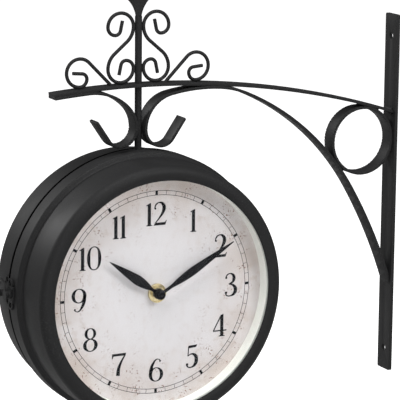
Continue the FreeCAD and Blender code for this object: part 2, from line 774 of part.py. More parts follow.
def pointed(hand, angle):
    """Turn a hand clockwise from twelve, as seen from in front of its dial."""
    hand = hand.copy()
    hand.rotate(Vector(0, 0, 0), Vector(0, 0, 1), -angle)
    return hand


def hour_hand(front):
    high = HOUR_LEVEL + HAND_THICK
    hand = leaf(HOUR_LENGTH, HOUR_HALF, HOUR_LEVEL)
    hand = hand.fuse(disc(TUBE_R, MOVEMENT_LOW + MOVEMENT_BACK + HAND_LIFT, high))
    hand = hand.cut(disc(SHAFT_R + RUN_GAP, MOVEMENT_LOW, high))
    return on_dial(pointed(hand, HOUR_TURN), front)


def minute_hand(front):
    hand = leaf(MINUTE_LENGTH, MINUTE_HALF, MINUTE_LEVEL)
    hand = hand.cut(disc(SHAFT_R, MINUTE_LEVEL, MINUTE_TOP))
    return on_dial(pointed(hand, MINUTE_TURN), front)


def minute_shaft(front):
    return on_dial(disc(SHAFT_R, MOVEMENT_LOW + HAND_LIFT, MINUTE_TOP + SHAFT_STUB), front)


def hand_cap(front):
    """Domed nut that holds the minute hand on its shaft."""
    high = MINUTE_TOP + CAP_HEIGHT
    cap = disc(CAP_R, MINUTE_TOP, high)
    cap = cap.makeFillet(0.55 * CAP_HEIGHT, edge_circles(cap, high))
    return on_dial(cap.cut(disc(SHAFT_R, MINUTE_TOP, MINUTE_TOP + SHAFT_STUB)), front)


# --- hinge at three o'clock ---------------------------------------------------
def on_case(x, y, z):
    """Point in the case's own place, measured from the dial axis."""
    return Vector(STEM_X + x, y, CLOCK_Z + z)


def upright(points, low, high):
    """Prism over an outline drawn in X and Y."""
    base = [on_case(x, y, low) for x, y in points]
    return Part.Face(Part.makePolygon(base + base[:1])).extrude(Vector(0, 0, high - low))


def hinge_round(radius, low, high):
    return Part.makeCylinder(radius, high - low, on_case(HINGE_X, HINGE_Y, low))


def hinge_leaf_front():
    """Leaf on the skirt, with the upper and the lower knuckle."""
    inner = SKIRT_R + SEAT_GAP
    outer = inner + LEAF_THICK
    half = HINGE_HEIGHT / 2.0
    clear = HINGE_Y - KNUCKLE_R + KNUCKLE_GAP
    front = MID_Y - SKIRT_FRONT + SKIRT_EDGE
    hinge = upright([(inner, front), (outer, front), (outer, clear), (inner, clear)], -half, half)
    for low in (-half, half - KNUCKLE + KNUCKLE_GAP):
        high = low + KNUCKLE - KNUCKLE_GAP
        root = clear - LEAF_THICK
        web = upright([(inner, root), (outer, root), (HINGE_X, HINGE_Y - KNUCKLE_R / 2.0),
                       (HINGE_X - KNUCKLE_R / 2.0, HINGE_Y)], low, high)
        hinge = hinge.fuse(web).fuse(hinge_round(KNUCKLE_R, low, high))
    return hinge.cut(hinge_round(HINGE_PIN_R + RUN_GAP, -half, half)).removeSplitter()


def hinge_leaf_rear():
    """Leaf on the door, with the middle knuckle on a joggled web."""
    inner = flank_top(False) + SEAT_GAP
    outer = inner + LEAF_THICK
    half = HINGE_HEIGHT / 2.0
    near = HINGE_Y + LEAF_BACK
    far = near + LEAF_WIDTH
    hinge = upright([(inner, near), (outer, near), (outer, far), (inner, far)], -half, half)
    web = upright([(inner, near + LEAF_THICK), (inner, near), (HINGE_X - KNUCKLE_R / 2.0, HINGE_Y),
                   (HINGE_X, HINGE_Y + KNUCKLE_R / 2.0), (outer, near + LEAF_THICK)],
                  -KNUCKLE / 2.0, KNUCKLE / 2.0)
    hinge = hinge.fuse(web).fuse(hinge_round(KNUCKLE_R, -KNUCKLE / 2.0, KNUCKLE / 2.0))
    return hinge.cut(hinge_round(HINGE_PIN_R + RUN_GAP, -half, half)).removeSplitter()


def hinge_pin():
    half = HINGE_HEIGHT / 2.0 + KNUCKLE_GAP
    pin = hinge_round(HINGE_PIN_R, -half, half)
    head = (HINGE_PIN_R + KNUCKLE_R) / 2.0
    return pin.fuse(hinge_round(head, half, half + PIN_HEAD)).fuse(hinge_round(head, -half - PIN_HEAD, -half))


def domed(radius, rise, x, y, z, outward):
    """Low domed head that stands out from the case's side."""
    head = Part.makeCylinder(radius, rise, on_case(x, y, z), Vector(outward, 0, 0))
    level = STEM_X + x + outward * rise
    rim = [e for e in head.Edges if e.BoundBox.XLength < 1e-6 and abs(e.BoundBox.XMin - level) < 1e-6]
    return head.makeFillet(0.6 * rise, rim)


def hinge_rivets(x, y):
    return [domed(RIVET_R, RIVET_RISE, x, y, step * RIVET_STEP, 1.0) for step in (-1, 0, 1)]


def hinge_rivets_front():
    return hinge_rivets(SKIRT_R + SEAT_GAP + LEAF_THICK, MID_Y - SKIRT_FRONT + SKIRT_EDGE + 2.0 * RIVET_R)


def hinge_rivets_rear():
    return hinge_rivets(flank_top(False) + SEAT_GAP + LEAF_THICK, HINGE_Y + LEAF_BACK + 0.65 * LEAF_WIDTH)


# --- latch at nine o'clock ----------------------------------------------------
def in_side(y, z):
    """Plane of the latch: Y, and Z up from the dial centre."""
    return Vector(STEM_X, y, CLOCK_Z + z)


def outwards(face, x, thick):
    """Prism that stands out from x, away from the case."""
    face = face.copy()
    face.translate(Vector(x, 0, 0))
    return face.extrude(Vector(-thick, 0, 0))


def latch_plate(x, y, way):
    """Cast plate with a scrolled end above and below that curl towards way."""
    wide, high = PLATE_WIDTH / 2.0, PLATE_HALF
    corners = [in_side(y + a * wide, LATCH_UP + b * high) for a, b in ((-1, -1), (1, -1), (1, 1), (-1, 1))]
    plate = outwards(Part.Face(Part.makePolygon(corners + corners[:1])), x, PLATE_THICK)
    for end in (1.0, -1.0):
        start = (y - way * (wide - PLATE_CURL_R), LATCH_UP + end * (high - PLATE_BAND))
        run = walk(start, end * 90.0, [("line", PLATE_CURL_NECK + PLATE_BAND),
                                       ("arc", PLATE_CURL_R, -way * end * PLATE_CURL_TURN)])
        ball = Part.Face(Part.Wire(Part.makeCircle(PLATE_BALL_R, in_side(*run[-1]["to"]), Vector(1, 0, 0))))
        for face in (band(run, PLATE_BAND, in_side), ball):
            plate = plate.fuse(outwards(face, x, PLATE_THICK))
    return plate.removeSplitter()


def latch_plate_front():
    return latch_plate(PLATE_FRONT_X, PLATE_FRONT_Y, 1.0)


def latch_plate_rear():
    """Plate on the door with the boss that carries the hook's pivot."""
    x = -(flank_top(False) + SEAT_GAP)
    plate = latch_plate(x, PLATE_REAR_Y, -1.0)
    rise = x - HOOK_BACK_X - HOOK_GAP / 2.0
    boss = Part.makeCylinder(HOOK_BOSS_R, rise, on_case(x, PIVOT_Y, PIVOT_Z), Vector(-1, 0, 0))
    bore = Part.makeCylinder(HOOK_PIN_R, rise, on_case(x, PIVOT_Y, PIVOT_Z), Vector(-1, 0, 0))
    return plate.fuse(boss).cut(bore).removeSplitter()


def latch_keeper():
    """Round stud on the front plate that the hook closes over."""
    return domed(KEEPER_R, KEEPER_RISE, PLATE_TOP_X, PLATE_FRONT_Y, LATCH_UP, -1.0)


def latch_hook():
    """Arched hook that swings up and back on its pivot."""
    run = walk((PIVOT_Y, PIVOT_Z), 90.0, [
        ("line", HOOK_LEG),
        ("arc", HOOK_ARCH_R, 180.0),
        ("line", HOOK_LEG + PIVOT_Z - LATCH_UP),
    ])
    hook = outwards(band(run, HOOK_BAND, in_side), HOOK_BACK_X, HOOK_THICK)
    for (y, z), radius in ((run[0]["from"], HOOK_EYE_R), (run[-1]["to"], HOOK_END_R)):
        hook = hook.fuse(Part.makeCylinder(radius, HOOK_THICK, on_case(HOOK_BACK_X, y, z), Vector(-1, 0, 0)))
    bore = Part.makeCylinder(HOOK_PIN_R + RUN_GAP, HOOK_THICK, on_case(HOOK_BACK_X, PIVOT_Y, PIVOT_Z),
                             Vector(-1, 0, 0))
    return hook.cut(bore).removeSplitter()


def latch_pin():
    """Headed pin that the hook turns on."""
    start = -(flank_top(False) + SEAT_GAP)
    head = HOOK_FACE_X - HOOK_GAP / 2.0
    pin = Part.makeCylinder(HOOK_PIN_R, start - head, on_case(start, PIVOT_Y, PIVOT_Z), Vector(-1, 0, 0))
    return pin.fuse(domed(HOOK_BOSS_R, HOOK_PIN_R, head, PIVOT_Y, PIVOT_Z, -1.0))


def latch_rivets(x, y):
    spots = [LATCH_UP + side * (PLATE_HALF - 1.1 * RIVET_R) for side in (-1.0, 1.0)]
    return [domed(RIVET_R, RIVET_RISE, x, y, z, -1.0) for z in spots]


def latch_rivets_front():
    return latch_rivets(PLATE_TOP_X, PLATE_FRONT_Y - PLATE_WIDTH / 2.0 + 1.1 * RIVET_R)


def latch_rivets_rear():
    x = -(flank_top(False) + SEAT_GAP + PLATE_THICK)
    return latch_rivets(x, PLATE_REAR_Y + PLATE_WIDTH / 2.0 - 1.1 * RIVET_R)


def build():
    os.makedirs("parts", exist_ok=True)
    save("wall_bar", wall_bar())
    save("arm", arm())
    save("brace", brace())
    save("left_scroll", left_scroll())
    save("corner_ring", corner_ring())
    save("stem", stem())
    save("stem_washer", stem_washer())
    save("stem_nut", stem_nut())
    save("finial", finial())
    save("s_scroll_right", s_scroll())
    save("s_scroll_left", mirrored(s_scroll()))
    save("outer_scroll_right", outer_scroll())
    save("outer_scroll_left", mirrored(outer_scroll()))
    save("weld_beads", *weld_beads())
    save("front_shell", front_shell())
    save("rear_shell", rear_shell())
    for side, front in (("front_", True), ("rear_", False)):
        save(side + "glass", glass(front))
        save(side + "spacer_ring", spacer_ring(front))
        save(side + "dial", dial(front))
        save(side + "dial_clips", *dial_clips(front))
        save(side + "movement", movement(front))
        save(side + "battery", battery(front))
        save(side + "set_knob", set_knob(front))
        save(side + "dial_washer", dial_washer(front))
        save(side + "dial_nut", dial_nut(front))
        save(side + "hour_hand", hour_hand(front))
        save(side + "minute_hand", minute_hand(front))
        save(side + "minute_shaft", minute_shaft(front))
        save(side + "hand_cap", hand_cap(front))
    save("hinge_leaf_front", hinge_leaf_front())
    save("hinge_leaf_rear", hinge_leaf_rear())
    save("hinge_pin", hinge_pin())
    save("hinge_rivets_front", *hinge_rivets_front())
    save("hinge_rivets_rear", *hinge_rivets_rear())
    save("latch_plate_front", latch_plate_front())
    save("latch_plate_rear", latch_plate_rear())
    save("latch_keeper", latch_keeper())
    save("latch_hook", latch_hook())
    save("latch_pin", latch_pin())
    save("latch_rivets_front", *latch_rivets_front())
    save("latch_rivets_rear", *latch_rivets_rear())


build()
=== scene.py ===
import json
import math

import bpy
from mathutils import Matrix, Vector

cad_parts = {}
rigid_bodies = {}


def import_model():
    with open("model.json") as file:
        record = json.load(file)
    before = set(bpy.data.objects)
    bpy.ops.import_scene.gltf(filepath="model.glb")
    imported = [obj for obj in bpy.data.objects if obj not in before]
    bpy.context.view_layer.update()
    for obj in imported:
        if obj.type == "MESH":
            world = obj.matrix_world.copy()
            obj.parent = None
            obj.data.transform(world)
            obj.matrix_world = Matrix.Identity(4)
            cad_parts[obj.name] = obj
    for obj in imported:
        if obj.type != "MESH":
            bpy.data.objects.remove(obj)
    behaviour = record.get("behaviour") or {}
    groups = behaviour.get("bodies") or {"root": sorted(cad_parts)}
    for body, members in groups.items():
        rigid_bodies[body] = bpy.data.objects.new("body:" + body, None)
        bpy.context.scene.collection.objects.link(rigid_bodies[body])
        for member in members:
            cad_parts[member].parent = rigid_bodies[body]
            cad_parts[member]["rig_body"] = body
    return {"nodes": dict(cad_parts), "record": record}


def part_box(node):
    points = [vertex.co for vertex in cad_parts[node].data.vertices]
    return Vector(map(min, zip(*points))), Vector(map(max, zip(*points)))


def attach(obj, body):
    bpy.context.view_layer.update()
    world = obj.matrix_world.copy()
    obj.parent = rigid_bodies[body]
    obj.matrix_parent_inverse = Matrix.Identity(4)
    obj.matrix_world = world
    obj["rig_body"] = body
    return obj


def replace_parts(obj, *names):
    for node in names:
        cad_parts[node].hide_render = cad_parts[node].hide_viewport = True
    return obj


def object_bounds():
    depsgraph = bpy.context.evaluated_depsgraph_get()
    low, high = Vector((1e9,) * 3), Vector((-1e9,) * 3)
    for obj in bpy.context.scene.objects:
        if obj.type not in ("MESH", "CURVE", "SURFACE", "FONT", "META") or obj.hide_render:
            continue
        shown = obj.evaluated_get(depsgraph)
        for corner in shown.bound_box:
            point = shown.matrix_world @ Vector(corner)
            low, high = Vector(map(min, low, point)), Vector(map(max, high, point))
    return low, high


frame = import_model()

bl_info = {
    "name": "Station Clock Finish",
    "version": (1, 0, 0),
    "blender": (4, 5, 0),
    "location": "View3D > Sidebar > Clock",
    "description": "Prints the dials and finishes the double sided station clock and its bracket",
    "category": "Object",
}

NODES = frame["nodes"]
SIDES = ("front", "rear")
CARRIER = {"front": "bracket_and_front_case", "rear": "rear_door"}
CAD_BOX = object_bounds()
DIAL_LOW, DIAL_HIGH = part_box("front_dial")
DIAL_CENTRE = (DIAL_LOW + DIAL_HIGH) / 2
CLOCK_X, CLOCK_Z = DIAL_CENTRE.x, DIAL_CENTRE.z
DIAL_FACE = {"front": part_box("front_dial")[0].y, "rear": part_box("rear_dial")[1].y}

# Camera: yaw, pitch and roll in degrees, place and far limit in metres, lens and sensor in
# millimetres.
CAMERA_TURNS = (-26.11, 11.66, 0.55)
CAMERA_PLACE = (-1.099893, -1.863769, 0.437398)
CAMERA_LENS, SENSOR_WIDTH, FAR_LIMIT = 225.0, 36.0, 60.0
# Each lamp has a name, a place, a diameter in metres and a power in watts.
LAMPS = (
    ("key", (0.62, -1.70, 1.12), 1.00, 22.5),
    ("overhead", (-0.40, -0.45, 1.60), 0.9, 20.0),
    ("upper_left", (-1.40, -0.95, 1.35), 0.8, 9.0),
    ("camera_fill", (-1.10, -1.85, 0.10), 0.9, 5.5),
    ("rear_key", (-1.35, 1.65, 0.95), 0.6, 24.0),
)
WORLD_LIGHT = 0.09
FLOOR_GLOW = 1.0
FLOOR_SIZE = 40.0

# Each digit is one unit high. A pen stroke lists x, y and width, a ring its centre, outer
# half sizes and side and top widths, a ball its centre and radius, and a slab its corners.
STEM_AND_FOOT = [(0, 0), (0.28, 0), (0.28, 0.03), (0.22, 0.055), (0.22, 1.0), (0.18, 1.0), (0, 0.91),
                 (0, 0.87), (0.065, 0.885), (0.065, 0.055), (0, 0.03)]
SIX = [("ring", (0.345, 0.30), (0.345, 0.32), (0.13, 0.035)),
       ("pen", (0.085, 0.30, 0.125), (0.11, 0.55, 0.125), (0.21, 0.80, 0.09), (0.39, 0.98, 0.04),
        (0.54, 0.94, 0.035)),
       ("ball", (0.535, 0.89), 0.045)]
DIGITS = {
    "0": (0.66, [("ring", (0.33, 0.5), (0.33, 0.52), (0.125, 0.035))]),
    "1": (0.26, [("slab", *STEM_AND_FOOT)]),
    "2": (0.62, [("pen", (0.045, 0.72, 0.04), (0.10, 0.90, 0.055), (0.27, 0.995, 0.045), (0.44, 0.91, 0.11),
                  (0.49, 0.74, 0.135), (0.42, 0.53, 0.10), (0.26, 0.31, 0.055), (0.06, 0.08, 0.04)),
                 ("ball", (0.08, 0.74), 0.045),
                 ("slab", (0, 0), (0.55, 0), (0.62, 0.2), (0.59, 0.2), (0.53, 0.12), (0.1, 0.12), (0, 0.03))]),
    "3": (0.60, [("pen", (0.05, 0.80, 0.04), (0.11, 0.93, 0.05), (0.26, 1.0, 0.04), (0.42, 0.91, 0.10),
                  (0.455, 0.77, 0.125), (0.38, 0.61, 0.08), (0.20, 0.535, 0.03)),
                 ("pen", (0.20, 0.535, 0.03), (0.40, 0.48, 0.08), (0.53, 0.29, 0.14), (0.46, 0.09, 0.11),
                  (0.27, 0.0, 0.045), (0.10, 0.04, 0.05), (0.04, 0.16, 0.05)),
                 ("ball", (0.08, 0.82), 0.05), ("ball", (0.07, 0.15), 0.06)]),
    "4": (0.66, [("pen", (0.41, 0.97, 0.05), (0.21, 0.62, 0.045), (0.02, 0.27, 0.045)),
                 ("slab", (0, 0.235), (0.66, 0.235), (0.66, 0.29), (0, 0.29)),
                 ("slab", (0.28, 0), (0.57, 0), (0.57, 0.03), (0.505, 0.055), (0.505, 1.0), (0.45, 1.0),
                  (0.35, 0.86), (0.35, 0.055), (0.28, 0.03))]),
    "5": (0.62, [("slab", (0.12, 0.86), (0.50, 0.89), (0.57, 1.02), (0.53, 1.0), (0.14, 0.98)),
                 ("pen", (0.145, 0.93, 0.045), (0.13, 0.72, 0.04), (0.115, 0.51, 0.04)),
                 ("pen", (0.115, 0.52, 0.03), (0.28, 0.60, 0.05), (0.45, 0.53, 0.11), (0.52, 0.33, 0.14),
                  (0.45, 0.11, 0.11), (0.27, 0.0, 0.045), (0.10, 0.04, 0.05), (0.04, 0.15, 0.05)),
                 ("ball", (0.075, 0.14), 0.06)]),
    "6": (0.66, SIX),
    "7": (0.68, [("slab", (0.02, 0.99), (0, 0.78), (0.03, 0.78), (0.09, 0.885), (0.64, 0.885), (0.68, 1.0)),
                 ("pen", (0.64, 0.93, 0.05), (0.45, 0.62, 0.08), (0.33, 0.33, 0.12), (0.29, 0.01, 0.15))]),
    "8": (0.68, [("ring", (0.34, 0.77), (0.27, 0.25), (0.11, 0.035)),
                 ("ring", (0.34, 0.265), (0.34, 0.285), (0.13, 0.035))]),
    "9": (0.66, SIX),
}


# --- sizes and colours that a user would change -------------------------------
def length(name, description, millimetres):
    return bpy.props.FloatProperty(name=name, description=description, default=millimetres / 1000.0,
                                   min=0.0, subtype="DISTANCE", unit="LENGTH", precision=5)


def colour(name, description, value):
    return bpy.props.FloatVectorProperty(name=name, description=description, default=value, size=3,
                                         min=0.0, max=1.0, subtype="COLOR")


class ClockSizes(bpy.types.PropertyGroup):
    numeral_height: length("Numeral height", "Height of the hour numerals", 19.3)
    numeral_radius: length("Numeral radius", "From the dial's centre to the middle of 12 and 6", 66.6)
    numeral_spread: length("Numeral spread", "How much further out 3 and 9 stand", 2.7)
    pen_weight: bpy.props.FloatProperty(name="Pen weight", description="Share of the drawn stroke width",
                                        default=1.22, min=0.5, max=1.5, subtype="FACTOR")
    digit_gap: length("Digit gap", "Space between the two digits of a numeral", 1.7)
    track_inner: length("Track inside", "Radius of the inner circle of the minute track", 82.6)
    track_outer: length("Track outside", "Radius of the outer circle of the minute track", 86.2)
    line_width: length("Line width", "Width of the circles and the minute lines", 0.42)
    block_width: length("Block width", "Width of the block at each hour", 2.3)
    ink_rise: length("Ink rise", "How far the print stands above the dial", 0.05)
    edge_round: length("Edge rounding", "Radius of the softened edges of painted bars", 0.35)
    screw_head: length("Screw head", "Diameter of the movement's screw heads", 4.2)
    # The strip is a black band that paints the shade in the gap where the two halves meet.
    strip_radius: length("Strip radius", "Outside of the sealing strip on the door's rim", 114.5)
    strip_thick: length("Strip thickness", "How thick the sealing strip is", 1.9)
    strip_width: length("Strip width", "How wide the sealing strip is", 3.2)
    strip_gap: length("Strip gap", "How far behind the front latch plate the strip starts", 0.55)
    strip_round: length("Strip rounding", "Radius of the strip's edges", 0.2)
    nut_round: length("Nut rounding", "Radius of the dial nut's edges", 0.22)
    nut_bore: length("Nut bore", "Radius of the hole in the dial nut", 4.1)
    nut_rim: length("Nut rim", "Width of the rim and the collar of the dial nut", 0.9)
    floor_drop: length("Floor drop", "How far the floor lies below the clock", 120.0)


class ClockColours(bpy.types.PropertyGroup):
    paint: colour("Paint", "Black paint of the bracket and the case", (0.017, 0.017, 0.0175))
    paint_dust: colour("Dust", "Faint dust in the grain of the paint", (0.038, 0.038, 0.038))
    dial: colour("Dial", "Middle of the dial", (0.705, 0.685, 0.70))
    # Partly real warm ageing, partly painted shade: darkened towards the rim where the bezel shades the dial.
    dial_aged: colour("Dial ageing", "Warm ageing towards the dial's rim", (0.54, 0.465, 0.43))
    dial_speck: colour("Dial specks", "Rusty specks on the dial", (0.22, 0.12, 0.09))
    ring: colour("Spacer ring", "Cream ring round the dial", (0.86, 0.88, 0.83))
    ink: colour("Ink", "Print on the dial", (0.006, 0.006, 0.008))
    hands: colour("Hands", "Black hands and their caps", (0.004, 0.004, 0.006))
    brass: colour("Brass", "Nut, washer and shaft", (0.50, 0.42, 0.25))
    brass_dull: colour("Dull brass", "Dull patches of the brass", (0.28, 0.23, 0.13))
    zinc: colour("Zinc", "Clips, stud washer and nut", (0.62, 0.63, 0.65))
    zinc_dull: colour("Dull zinc", "Dull patches of the zinc", (0.42, 0.43, 0.45))
    plastic: colour("Movement", "Moulded plastic of the movements", (0.030, 0.030, 0.032))
    jacket: colour("Battery", "Jacket of the batteries", (0.10, 0.14, 0.19))
    # Painted shade: the strip's near black stands in for the shadowed gap at the seam.
    rubber: colour("Rubber", "Sealing strip", (0.001, 0.001, 0.001))
    rubber_bloom: colour("Rubber bloom", "Chalky bloom on the strip", (0.003, 0.003, 0.003))
    floor: colour("Floor", "Pale studio floor", (0.66, 0.66, 0.66))
    floor_patch: colour("Floor patches", "Faint darker patches of the floor", (0.60, 0.60, 0.60))


def sizes():
    return bpy.context.scene.clock_sizes


def colours():
    return bpy.context.scene.clock_colours


# --- modelling helpers ---------------------------------------------------------
def only(*objects):
    """Select these objects and nothing else."""
    if bpy.context.object and bpy.context.object.mode != "OBJECT":
        bpy.ops.object.mode_set(mode="OBJECT")
    bpy.ops.object.select_all(action="DESELECT")
    for obj in objects:
        obj.select_set(True)
    bpy.context.view_layer.objects.active = objects[0] if objects else None


def joined(name, parts):
    """Join some objects into one named piece."""
    only(*parts)
    if len(parts) > 1:
        bpy.ops.object.join()
    whole = bpy.context.object
    whole.name = whole.data.name = name
    return whole


def copied(obj, name):
    """Copy a piece together with its mesh."""
    twin = obj.copy()
    twin.data = obj.data.copy()
    twin.name = twin.data.name = name
    bpy.context.scene.collection.objects.link(twin)
    return twin


def put(obj, matrix):
    """Move a piece to its place and keep the place in its mesh."""
    only(obj)
    obj.matrix_world = matrix @ obj.matrix_world
    bpy.ops.object.transform_apply(location=True, rotation=True, scale=True)


def rounded(obj, width, segments):
    """Round the sharp edges of a piece and shade it smooth."""
    only(obj)
    bevel = obj.modifiers.new("rounding", "BEVEL")
    bevel.width, bevel.segments, bevel.limit_method = width, segments, "ANGLE"
    bpy.ops.object.modifier_apply(modifier=bevel.name)
    bpy.ops.object.shade_smooth_by_angle(angle=math.radians(35))


def on_dial(side, rise=0.0):
    """Matrix from a drawing with twelve on +Y to the face of one dial."""
    turn = 1.0 if side == "front" else -1.0
    return Matrix(((turn, 0, 0, CLOCK_X), (0, 0, -turn, DIAL_FACE[side] - turn * rise),
                   (0, 1, 0, CLOCK_Z), (0, 0, 0, 1)))


def finished(obj, body, material):
    """Give a piece its material and the body it rides on."""
    obj.data.materials.clear()
    obj.data.materials.append(material)
    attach(obj, body)
    return obj


HOOP_SIDES = 240


def hoop(radius, width, rise):
    """Flat hoop of that outside: a filled circle, inset, with its middle taken out, then raised."""
    only()
    bpy.ops.mesh.primitive_circle_add(vertices=HOOP_SIDES, radius=radius, fill_type="NGON")
    obj = bpy.context.object
    bpy.ops.object.mode_set(mode="EDIT")
    bpy.ops.mesh.select_all(action="SELECT")
    bpy.ops.mesh.inset(thickness=width, use_even_offset=True)
    bpy.ops.mesh.delete(type="FACE")
    bpy.ops.mesh.select_all(action="SELECT")
    bpy.ops.mesh.extrude_region_move(TRANSFORM_OT_translate={"value": (0, 0, rise)})
    bpy.ops.mesh.select_all(action="SELECT")
    bpy.ops.mesh.normals_make_consistent(inside=False)
    bpy.ops.object.mode_set(mode="OBJECT")
    return obj


def select_faces(obj, wanted):
    """Select the faces that a test picks; the object is in edit mode before and after."""
    bpy.ops.mesh.select_all(action="DESELECT")
    bpy.ops.object.mode_set(mode="OBJECT")
    for face in obj.data.polygons:
        face.select = wanted(face)
    bpy.ops.object.mode_set(mode="EDIT")


# --- material helpers ----------------------------------------------------------
def add(tree, kind, **values):
    node = tree.nodes.new("ShaderNode" + kind)
    for key, value in values.items():
        setattr(node, key, value)
    return node


def feed(tree, value, socket):
    """Link a socket, or set a plain value."""
    if isinstance(value, bpy.types.NodeSocket):
        tree.links.new(value, socket)
    else:
        socket.default_value = value


def place(tree, scale=(1, 1, 1), shift=(0, 0, 0)):
    """Object coordinates, stretched and shifted."""
    mapping = add(tree, "Mapping")
    mapping.inputs["Scale"].default_value = scale
    mapping.inputs["Location"].default_value = shift
    tree.links.new(add(tree, "TexCoord").outputs["Object"], mapping.inputs["Vector"])
    return mapping.outputs["Vector"]


def noise(tree, where, grain, detail=3.0):
    """Cloudy pattern; grain is the size of one patch in millimetres."""
    node = add(tree, "TexNoise")
    tree.links.new(where, node.inputs["Vector"])
    node.inputs["Scale"].default_value = 1000.0 / grain
    node.inputs["Detail"].default_value = detail
    return node.outputs[0]


def spread(tree, value, low, high, to_low=0.0, to_high=1.0):
    node = add(tree, "MapRange", interpolation_type="SMOOTHSTEP")
    feed(tree, value, node.inputs[0])
    for slot, number in zip(range(1, 5), (low, high, to_low, to_high)):
        node.inputs[slot].default_value = number
    return node.outputs[0]


def combined(tree, first, second, operation="MULTIPLY"):
    """One value from two, multiplied unless another operation is named."""
    node = add(tree, "Math", operation=operation)
    feed(tree, first, node.inputs[0])
    feed(tree, second, node.inputs[1])
    return node.outputs[0]


def blend(tree, share, first, second):
    """Mix two colours, each a socket or a plain colour."""
    node = add(tree, "Mix", data_type="RGBA")
    feed(tree, share, node.inputs[0])
    for value, socket in ((first, node.inputs[6]), (second, node.inputs[7])):
        feed(tree, value if isinstance(value, bpy.types.NodeSocket) else (*value, 1.0), socket)
    return node.outputs[2]


def rough_skin(tree, shader, height, strength, depth):
    """Bump; depth is in millimetres."""
    node = add(tree, "Bump")
    node.inputs["Strength"].default_value = strength
    node.inputs["Distance"].default_value = depth / 1000.0
    tree.links.new(height, node.inputs["Height"])
    tree.links.new(node.outputs["Normal"], shader.inputs["Normal"])


def new_finish(name, **values):
    """Material with one main shader, whose plain values are set by name."""
    material = bpy.data.materials.new(name)
    material.use_nodes = True
    shader = material.node_tree.nodes["Principled BSDF"]
    for key, value in values.items():
        shader.inputs[key.replace("_", " ")].default_value = value
    return material, material.node_tree, shader


def black_paint():
    """Satin powder paint: fine grain, slow change of gloss and faint dust."""
    material, tree, shader = new_finish("black_satin_paint", Specular_IOR_Level=0.12)
    where = place(tree)
    grain = noise(tree, where, 1.1, 2.0)
    cloud = noise(tree, where, 45.0, 4.0)
    dust = combined(tree, spread(tree, grain, 0.50, 0.72), spread(tree, cloud, 0.35, 0.75, 0.15, 0.7))
    feed(tree, blend(tree, dust, colours().paint, colours().paint_dust), shader.inputs["Base Color"])
    feed(tree, spread(tree, cloud, 0.3, 0.7, 0.50, 0.61), shader.inputs["Roughness"])
    rough_skin(tree, shader, grain, 0.35, 0.10)
    return material


def printed_dial():
    """Off white print that has browned and flecked towards the rim, and is darkened there by painted shade of
    the bezel.
    """
    material, tree, shader = new_finish("aged_dial", Roughness=0.62, Specular_IOR_Level=0.3)
    where = place(tree, (1, 0, 1), (-CLOCK_X, 0, -CLOCK_Z))
    radius = add(tree, "VectorMath", operation="LENGTH")
    tree.links.new(where, radius.inputs[0])
    outward = spread(tree, radius.outputs["Value"], 0.035, 0.100)
    cloud = noise(tree, where, 38.0, 5.0)
    mottle = noise(tree, where, 7.0, 4.0)
    # Darker towards the rim: partly real ageing, partly painted shade of the bezel on the dial.
    age_and_rim_shade = combined(tree, outward, spread(tree, cloud, 0.30, 0.72, 0.25, 1.0))
    base = blend(tree, age_and_rim_shade, colours().dial, colours().dial_aged)
    stain = combined(tree, spread(tree, mottle, 0.50, 0.72, 0.0, 0.75),
                     spread(tree, outward, 0.0, 1.0, 0.25, 1.0))
    base = blend(tree, stain, base, colours().dial_aged)
    fleck = combined(tree, spread(tree, noise(tree, where, 1.6, 2.0), 0.565, 0.63),
                  spread(tree, noise(tree, where, 12.0, 2.0), 0.52, 0.63, 0.0, 1.0))
    feed(tree, blend(tree, combined(tree, fleck, spread(tree, outward, 0.0, 0.8, 0.25, 1.0)), base,
                     colours().dial_speck), shader.inputs["Base Color"])
    rough_skin(tree, shader, mottle, 0.15, 0.05)
    return material


def print_ink():
    """Print that has thinned a little in places."""
    material, tree, shader = new_finish("dial_ink", Roughness=0.6, Specular_IOR_Level=0.1)
    where = place(tree)
    worn = spread(tree, noise(tree, where, 3.0, 4.0), 0.56, 0.80, 0.0, 0.03)
    feed(tree, blend(tree, worn, colours().ink, colours().dial_aged), shader.inputs["Base Color"])
    return material


def cream_ring():
    material, tree, shader = new_finish("cream_ring", Roughness=0.55, Specular_IOR_Level=0.3)
    where = place(tree)
    grime = spread(tree, noise(tree, where, 22.0, 5.0), 0.45, 0.8, 0.0, 0.3)
    feed(tree, blend(tree, grime, colours().ring, colours().dial_aged), shader.inputs["Base Color"])
    rough_skin(tree, shader, noise(tree, where, 1.5, 2.0), 0.2, 0.05)
    return material


def clear_glass():
    """Thin pane that lamps pass and that hardly veils the dial."""
    material, tree, shader = new_finish("clear_glass", Roughness=0.0, IOR=1.12, Transmission_Weight=1.0,
                                        Base_Color=(0.985, 0.99, 0.988, 1.0))
    path, through, mixed = add(tree, "LightPath"), add(tree, "BsdfTransparent"), add(tree, "MixShader")
    passes = combined(tree, path.outputs["Is Shadow Ray"], path.outputs["Is Diffuse Ray"], "MAXIMUM")
    tree.links.new(passes, mixed.inputs[0])
    tree.links.new(shader.outputs[0], mixed.inputs[1])
    tree.links.new(through.outputs[0], mixed.inputs[2])
    tree.links.new(mixed.outputs[0], tree.nodes["Material Output"].inputs["Surface"])
    return material


def black_hands():
    material, tree, shader = new_finish("black_hands", Specular_IOR_Level=0.08)
    where = place(tree)
    cloud = noise(tree, where, 6.0, 3.0)
    feed(tree, blend(tree, spread(tree, cloud, 0.4, 0.8, 0.0, 0.25), colours().hands, colours().paint),
         shader.inputs["Base Color"])
    feed(tree, spread(tree, cloud, 0.3, 0.7, 0.34, 0.46), shader.inputs["Roughness"])
    rough_skin(tree, shader, noise(tree, where, 0.5, 2.0), 0.2, 0.03)
    return material


